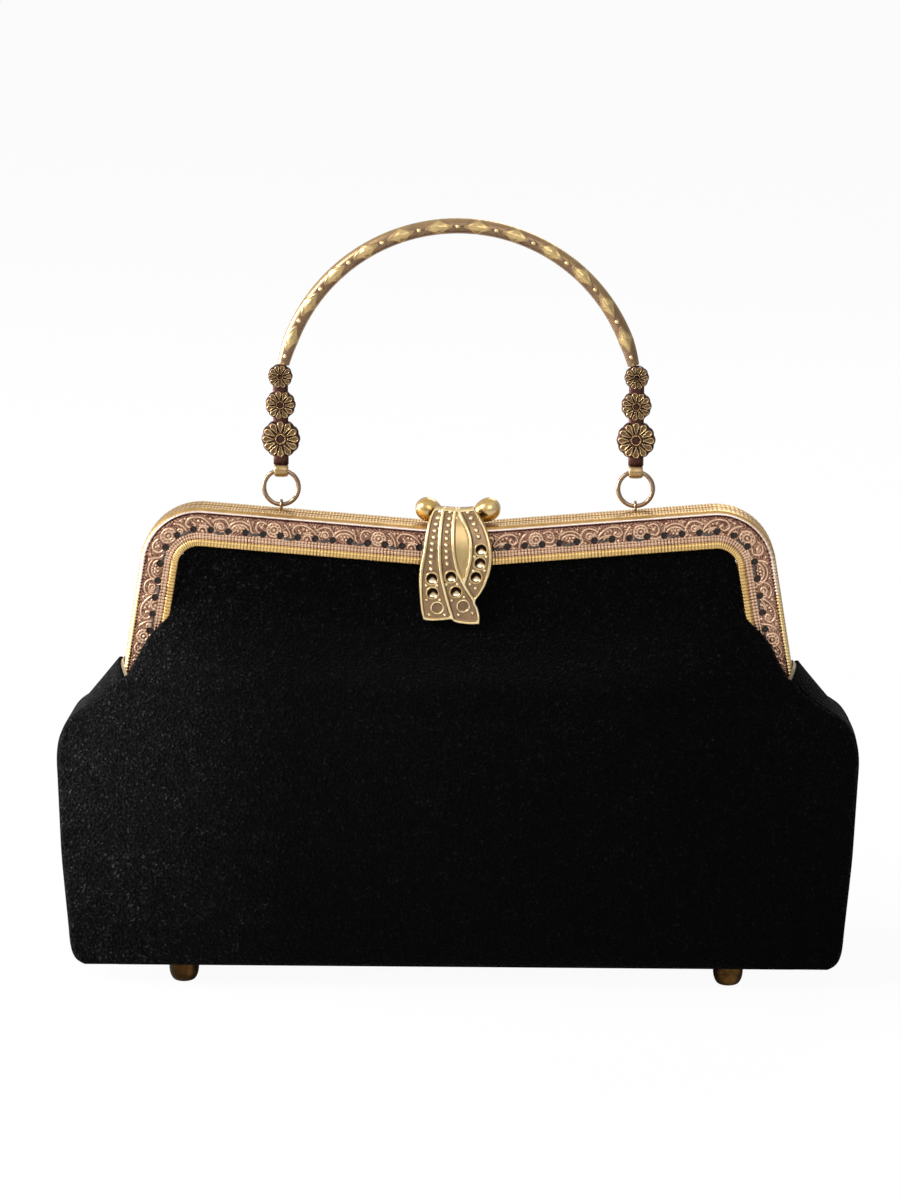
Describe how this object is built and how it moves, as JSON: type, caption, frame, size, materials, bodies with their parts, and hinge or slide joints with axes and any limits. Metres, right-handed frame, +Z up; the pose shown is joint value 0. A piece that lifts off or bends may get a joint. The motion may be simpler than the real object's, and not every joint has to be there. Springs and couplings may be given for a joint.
{
  "type": "kiss lock frame purse",
  "caption": "Small velvet evening bag on a hinged brass frame with a twin-knob clasp, a draped clasp plate, metal feet and a ringed arch handle.",
  "frame": {"origin": "on the ground, under the middle of the bag's base", "axes": "+X to the right seen from the front, the front faces -Y, +Z up"},
  "size_m": [0.2468, 0.074, 0.2269],
  "materials": {
    "antique_brass": "embossed antique brass, satin, darker in the recesses",
    "pale_brass": "polished pale brass",
    "velvet": "black cotton velvet with a soft sheen",
    "board": "stiff base board",
    "lining_satin": "champagne satin",
    "dark_bronze": "dark bronze"
  },
  "bodies": {
    "bag": {"front_panel": "velvet", "back_panel": "velvet", "gusset_left": "velvet", "gusset_right": "velvet", "base_panel": "velvet", "base_board": "board", "lining_body": "lining_satin", "foot_front_left": "dark_bronze", "foot_front_right": "dark_bronze", "foot_back_left": "dark_bronze", "foot_back_right": "dark_bronze", "foot_washers": "dark_bronze"},
    "front_half": {"front_frame": "antique_brass", "scarf_plate": "pale_brass", "front_lock_knob": "pale_brass", "front_panel_top": "velvet", "front_lining_top": "lining_satin"},
    "back_half": {"back_frame": "antique_brass", "back_lock_knob": "pale_brass", "handle_loop_left": "antique_brass", "handle_loop_right": "antique_brass", "hinge_rivet_left": "antique_brass", "hinge_rivet_right": "antique_brass", "back_panel_top": "velvet", "back_lining_top": "lining_satin"},
    "left_ring": {"ring_left": "antique_brass"},
    "right_ring": {"ring_right": "antique_brass"},
    "handle": {"handle_arch": "pale_brass", "flower_end_left": "antique_brass", "flower_end_right": "antique_brass"}
  },
  "joints": [
    {"name": "front_hinge", "type": "hinge", "parent": "bag", "child": "front_half", "pos_m": [0, 0, 0.0895], "axis": [1, 0, 0], "range_deg": [0, 45]},
    {"name": "back_hinge", "type": "hinge", "parent": "bag", "child": "back_half", "pos_m": [0, 0, 0.0895], "axis": [1, 0, 0], "range_deg": [-45, 0]},
    {"name": "left_ring_swing", "type": "hinge", "parent": "back_half", "child": "left_ring", "pos_m": [-0.0535, 0.00365, 0.14006], "axis": [1, 0, 0], "range_deg": [-60, 60]},
    {"name": "right_ring_swing", "type": "hinge", "parent": "back_half", "child": "right_ring", "pos_m": [0.0535, 0.00365, 0.14006], "axis": [1, 0, 0], "range_deg": [-60, 60]},
    {"name": "handle_swing", "type": "hinge", "parent": "left_ring", "child": "handle", "pos_m": [-0.0535, 0.00365, 0.15055], "axis": [1, 0, 0], "range_deg": [-75, 75]}
  ],
  "couplings": [
    {"joint": "back_hinge", "follows": "front_hinge", "ratio": -1},
    {"joint": "right_ring_swing", "follows": "left_ring_swing", "ratio": 1}
  ]
}
